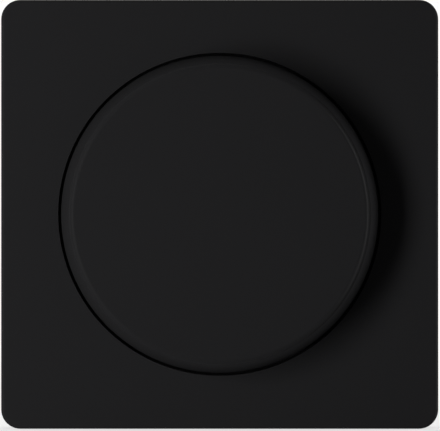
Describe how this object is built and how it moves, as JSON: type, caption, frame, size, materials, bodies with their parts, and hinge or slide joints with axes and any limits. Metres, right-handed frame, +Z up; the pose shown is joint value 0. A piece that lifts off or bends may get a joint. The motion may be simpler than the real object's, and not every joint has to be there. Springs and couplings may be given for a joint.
{
  "type": "wall dimmer",
  "caption": "Flush wall dimmer: a square matt black plate with a large plain knob that turns and pushes, on a support ring with spreading claws and a round insert.",
  "frame": {"origin": "on the knob's axis, in the plane of the wall, midway between the box screw slots", "axes": "+X right and +Z up as seen from the room, +Y into the wall, so the knob faces -Y"},
  "size_m": [0.0816, 0.0495, 0.08],
  "materials": {
    "anthracite_plastic": "matt, fine grained",
    "black_plastic": "moulded",
    "housing_plastic": "moulded, semi-matt",
    "terminal_plastic": "moulded",
    "white_plastic": "moulded",
    "trimmer_blue": "moulded",
    "zinc_steel": "zinc plated",
    "spring_steel": "drawn wire",
    "shaft_steel": "turned",
    "plated_brass": "nickel plated",
    "brass": "turned",
    "bronze": "rolled",
    "tinned_metal": "tinned",
    "aluminium": "plain",
    "phenolic": "laminate",
    "carbon": "printed",
    "circuit_laminate": "lacquered laminate",
    "pad_rubber": "filled silicone",
    "epoxy": "moulded",
    "iron_powder": "coated",
    "enamelled_copper": "enamelled",
    "glass": "clear",
    "film_case": "dipped",
    "capacitor_sleeve": "shrunk sleeve",
    "resistor_body": "lacquered"
  },
  "bodies": {
    "base": {"cover_plate": "anthracite_plastic", "plate_nut": "plated_brass", "support_ring": "zinc_steel", "housing": "housing_plastic", "insert_lid": "black_plastic", "housing_screws": "zinc_steel", "bush": "brass", "pot_nut": "plated_brass", "lock_washer": "zinc_steel", "pot_can": "zinc_steel", "track_board": "phenolic", "resistive_track": "carbon", "pot_pins": "bronze", "switch_case": "black_plastic", "switch_contacts": "brass", "return_spring": "spring_steel", "circuit_board": "circuit_laminate", "triac_pad": "pad_rubber", "triac_body": "epoxy", "triac_leadframe": "tinned_metal", "triac_rivet": "aluminium", "choke_core": "iron_powder", "choke_winding": "enamelled_copper", "fuse_tube": "glass", "fuse_caps": "tinned_metal", "fuse_clips": "tinned_metal", "film_capacitor": "film_case", "smoothing_capacitor": "capacitor_sleeve", "resistors": "resistor_body", "trimmer_body": "trimmer_blue", "terminal_block": "terminal_plastic", "terminal_cages": "brass", "terminal_screws": "zinc_steel"},
    "rotor": {"wiper_rotor": "black_plastic", "wiper_contact": "bronze"},
    "knob": {"knob": "anthracite_plastic", "knob_ring": "spring_steel", "spindle": "shaft_steel"},
    "plunger": {"switch_plunger": "white_plastic", "contact_bridge": "brass"},
    "trimmer": {"trimmer_adjuster": "white_plastic"},
    "right_screw": {"right_claw_screw": "zinc_steel"},
    "right_claw": {"right_claw": "zinc_steel"},
    "left_screw": {"left_claw_screw": "zinc_steel"},
    "left_claw": {"left_claw": "zinc_steel"}
  },
  "joints": [
    {"name": "dim_turn", "type": "hinge", "parent": "base", "child": "rotor", "pos_m": [0, 0, 0], "axis": [0, 1, 0], "range_deg": [0, 300]},
    {"name": "knob_push", "type": "slide", "parent": "rotor", "child": "knob", "axis": [0, 1, 0], "range_m": [0, 0.002], "stiffness_N_per_m": 800, "springref_m": -0.002, "deforming": ["return_spring"]},
    {"name": "plunger_push", "type": "slide", "parent": "base", "child": "plunger", "axis": [0, 1, 0], "range_m": [0, 0.002]},
    {"name": "trimmer_turn", "type": "hinge", "parent": "base", "child": "trimmer", "pos_m": [0.0134, 0, 0], "axis": [0, 1, 0], "range_deg": [0, 240]},
    {"name": "right_claw_tilt", "type": "hinge", "parent": "base", "child": "right_screw", "pos_m": [0.024, -0.0017, 0.007], "axis": [0, 0, -1], "range_deg": [0, 14]},
    {"name": "right_claw_lift", "type": "slide", "parent": "right_screw", "child": "right_claw", "axis": [0, -1, 0], "range_m": [0, 0.004]},
    {"name": "left_claw_tilt", "type": "hinge", "parent": "base", "child": "left_screw", "pos_m": [-0.024, -0.0017, -0.007], "axis": [0, 0, 1], "range_deg": [0, 14]},
    {"name": "left_claw_lift", "type": "slide", "parent": "left_screw", "child": "left_claw", "axis": [0, -1, 0], "range_m": [0, 0.004]}
  ],
  "couplings": [
    {"joint": "plunger_push", "follows": "knob_push", "ratio": 1},
    {"joint": "right_claw_tilt", "follows": "right_claw_lift", "rad_per_m": 61.08},
    {"joint": "left_claw_tilt", "follows": "left_claw_lift", "rad_per_m": 61.08}
  ]
}
